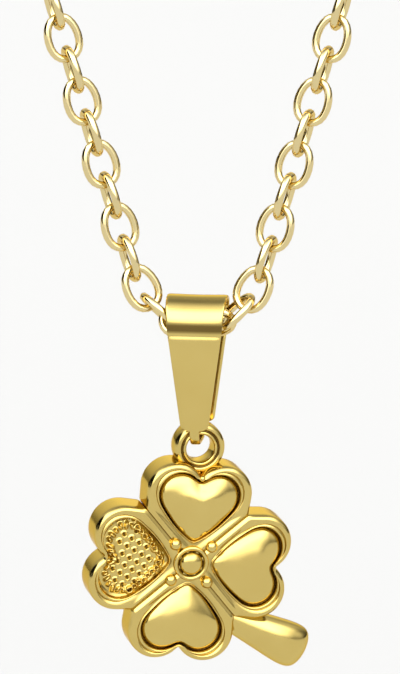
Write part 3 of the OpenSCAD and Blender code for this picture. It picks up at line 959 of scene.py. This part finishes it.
def plain_material(name, base, roughness):
    """A plain material for the stage."""
    material = bpy.data.materials.new(name)
    material.use_nodes = True
    shader = material.node_tree.nodes["Principled BSDF"]
    shader.inputs["Roughness"].default_value = roughness
    shader.inputs["Specular IOR Level"].default_value = 0.1
    shader.inputs["Base Color"].default_value = (*base, 1)
    return material


def make_floor(s):
    """A wide pale floor under the pendant."""
    bm = bmesh.new()
    bmesh.ops.create_grid(bm, x_segments=2, y_segments=2, size=12)
    bmesh.ops.translate(bm, vec=(0, 0, -s.floor_z), verts=bm.verts)
    mesh = bpy.data.meshes.new("floor")
    bm.to_mesh(mesh)
    bm.free()
    floor = bpy.data.objects.new("floor", mesh)
    bpy.context.scene.collection.objects.link(floor)
    mesh.materials.append(plain_material("pale floor", s.floor, 0.9))


def make_area(name, place, aim, size, power):
    """A soft area light that lights the floor and is seen neither by the camera nor in the gold."""
    data = bpy.data.lights.new(name, "AREA")
    data.shape = "RECTANGLE"
    data.size, data.size_y = size
    data.energy = power
    light = bpy.data.objects.new(name, data)
    bpy.context.scene.collection.objects.link(light)
    light.location = place
    light.rotation_mode = "QUATERNION"
    light.rotation_quaternion = (Vector(aim) - Vector(place)).to_track_quat("-Z", "Y")
    light.visible_camera = False
    light.visible_glossy = False


# Strength of the studio light where all three ramps are at 1
WORLD_POWER = 5.0


def make_world():
    """Studio light all round: bright in front and above, darker below, behind and right overhead.

    Each ramp gives the light's share along one axis of the world, as pairs of place and share.
    """
    world = bpy.data.worlds.new("studio")
    bpy.context.scene.world = world
    world.use_nodes = True
    nodes, links = world.node_tree.nodes, world.node_tree.links
    nodes.clear()
    where = nodes.new("ShaderNodeTexCoord")
    split = nodes.new("ShaderNodeSeparateXYZ")
    links.new(where.outputs["Generated"], split.inputs["Vector"])

    def ramp(source, stops):
        node = nodes.new("ShaderNodeValToRGB")
        spread = nodes.new("ShaderNodeMapRange")
        spread.inputs["From Min"].default_value = -1
        links.new(source, spread.inputs["Value"])
        links.new(spread.outputs["Result"], node.inputs["Fac"])
        while len(node.color_ramp.elements) < len(stops):
            node.color_ramp.elements.new(0.5)
        for element, (spot, value) in zip(node.color_ramp.elements, stops):
            element.position = (spot + 1) / 2
            element.color = (value, value, value, 1)
        return node.outputs["Color"]

    def times(a, b):
        node = nodes.new("ShaderNodeMath")
        node.operation = "MULTIPLY"
        links.new(a, node.inputs[0])
        if isinstance(b, float):
            node.inputs[1].default_value = b
        else:
            links.new(b, node.inputs[1])
        return node.outputs[0]

    up = ramp(split.outputs["Z"], [
        (-1, 0.2), (0.0, 0.22), (0.1, 0.4), (0.22, 0.75), (0.4, 1.0), (0.75, 1.0), (0.92, 0.4), (1, 0.3),
    ])
    back = ramp(split.outputs["Y"], [
        (-1, 1), (-0.2, 1), (0.0, 0.6), (0.2, 0.25), (0.7, 0.12), (0.9, 0.3), (1, 0.5),
    ])
    sides = ramp(split.outputs["X"], [
        (-1, 0.3), (-0.97, 0.0), (-0.8, 0.0), (-0.7, 1), (0.6, 1), (0.85, 0.25), (1, 0.3),
    ])
    light = times(times(times(up, back), sides), WORLD_POWER)
    glow = nodes.new("ShaderNodeBackground")
    links.new(light, glow.inputs["Strength"])
    seen = nodes.new("ShaderNodeBackground")
    seen.inputs["Color"].default_value = (0.93, 0.93, 0.92, 1)
    path = nodes.new("ShaderNodeLightPath")
    pick = nodes.new("ShaderNodeMixShader")
    links.new(path.outputs["Is Camera Ray"], pick.inputs["Fac"])
    links.new(glow.outputs["Background"], pick.inputs[1])
    links.new(seen.outputs["Background"], pick.inputs[2])
    out = nodes.new("ShaderNodeOutputWorld")
    links.new(pick.outputs["Shader"], out.inputs["Surface"])


def make_camera(s):
    """A camera in front with a long lens, at the photograph's angle and framing."""
    data = bpy.data.cameras.new("camera")
    camera = bpy.data.objects.new("camera", data)
    bpy.context.scene.collection.objects.link(camera)
    bpy.context.scene.camera = camera
    tall = PHOTO_H / s.px_per_mm * MM
    data.sensor_fit = "AUTO"
    data.sensor_width = 36
    data.lens = data.sensor_width * s.camera_far / tall
    data.clip_start, data.clip_end = 0.01, 50
    back = Vector((0, -math.cos(s.camera_tilt), math.sin(s.camera_tilt)))
    up = Vector((0, math.sin(s.camera_tilt), math.cos(s.camera_tilt)))
    across, down = PHOTO_W / 2 - HANG_PX[0], PHOTO_H / 2 - HANG_PX[1]
    aim = HANG + Vector((1, 0, 0)) * across / s.px_per_mm * MM - up * down / s.px_per_mm * MM
    camera.location = aim + back * s.camera_far
    camera.rotation_mode = "QUATERNION"
    camera.rotation_quaternion = (-back).to_track_quat("-Z", "Y")


def look_of(context):
    """The two golds: that of the charm and that of the chain, which is paler and smoother."""
    g = context.scene.pendant_gold
    chain_deep = [part * 0.88 for part in g.chain]
    return (
        gold("polished charm gold", g.bright, g.deep, g.sunk, g.roughness, 420),
        gold("polished chain gold", g.chain, chain_deep, g.sunk, g.roughness * 0.7, 300),
    )


class PENDANT_OT_stage(bpy.types.Operator):
    """Makes the floor, the light and the camera"""

    bl_idname = "pendant.stage"
    bl_label = "Stage"

    def execute(self, context):
        s = context.scene.pendant_stage
        make_camera(s)
        make_floor(s)
        make_world()
        make_area("back floor light", (0, 0.75, 1.2), (0, 0.7, -0.28), (1.6, 1.2), 5)
        context.scene.view_settings.view_transform = "Standard"
        return {"FINISHED"}


class PENDANT_OT_chain(bpy.types.Operator):
    """Makes the two strands of the chain"""

    bl_idname = "pendant.chain"
    bl_label = "Chain"

    def execute(self, context):
        for name in ("chain_left", "chain_right"):
            build_strand(name, context.scene.pendant_chain, look_of(context)[1])
        return {"FINISHED"}


class PENDANT_OT_clasp(bpy.types.Operator):
    """Makes the clasp at the nape"""

    bl_idname = "pendant.clasp"
    bl_label = "Clasp"

    def execute(self, context):
        build_clasp(context.scene.pendant_chain, look_of(context)[1])
        return {"FINISHED"}


class PENDANT_OT_bail(bpy.types.Operator):
    """Makes the bail that hangs on the chain"""

    bl_idname = "pendant.bail"
    bl_label = "Bail"

    def execute(self, context):
        build_bail(context.scene.pendant_bail, look_of(context)[0])
        return {"FINISHED"}


class PENDANT_OT_clover(bpy.types.Operator):
    """Makes the cast clover with its eye and stem"""

    bl_idname = "pendant.clover"
    bl_label = "Clover"

    def execute(self, context):
        build_clover(context.scene.pendant_clover, look_of(context)[0])
        return {"FINISHED"}


OPERATORS = [PENDANT_OT_stage, PENDANT_OT_chain, PENDANT_OT_clasp, PENDANT_OT_bail, PENDANT_OT_clover]


class PENDANT_PT_panel(bpy.types.Panel):
    """Lists the pendant's pieces and their sizes"""

    bl_idname = "PENDANT_PT_panel"
    bl_label = "Clover Pendant"
    bl_space_type = "VIEW_3D"
    bl_region_type = "UI"
    bl_category = "Clover Pendant"

    def draw(self, context):
        for operator in OPERATORS:
            self.layout.operator(operator.bl_idname)
        for name in SETTINGS:
            group = getattr(context.scene, name)
            box = self.layout.box()
            for prop in group.__annotations__:
                box.prop(group, prop)


def register():
    for group in SETTINGS.values():
        bpy.utils.register_class(group)
    for name, group in SETTINGS.items():
        setattr(bpy.types.Scene, name, bpy.props.PointerProperty(type=group))
    for operator in OPERATORS:
        bpy.utils.register_class(operator)
    bpy.utils.register_class(PENDANT_PT_panel)


def unregister():
    bpy.utils.unregister_class(PENDANT_PT_panel)
    for operator in reversed(OPERATORS):
        bpy.utils.unregister_class(operator)
    for name, group in SETTINGS.items():
        delattr(bpy.types.Scene, name)
        bpy.utils.unregister_class(group)


def main():
    register()
    bpy.ops.pendant.stage()
    bpy.ops.pendant.chain()
    bpy.ops.pendant.clasp()
    bpy.ops.pendant.bail()
    bpy.ops.pendant.clover()


if __name__ == "__main__":
    main()
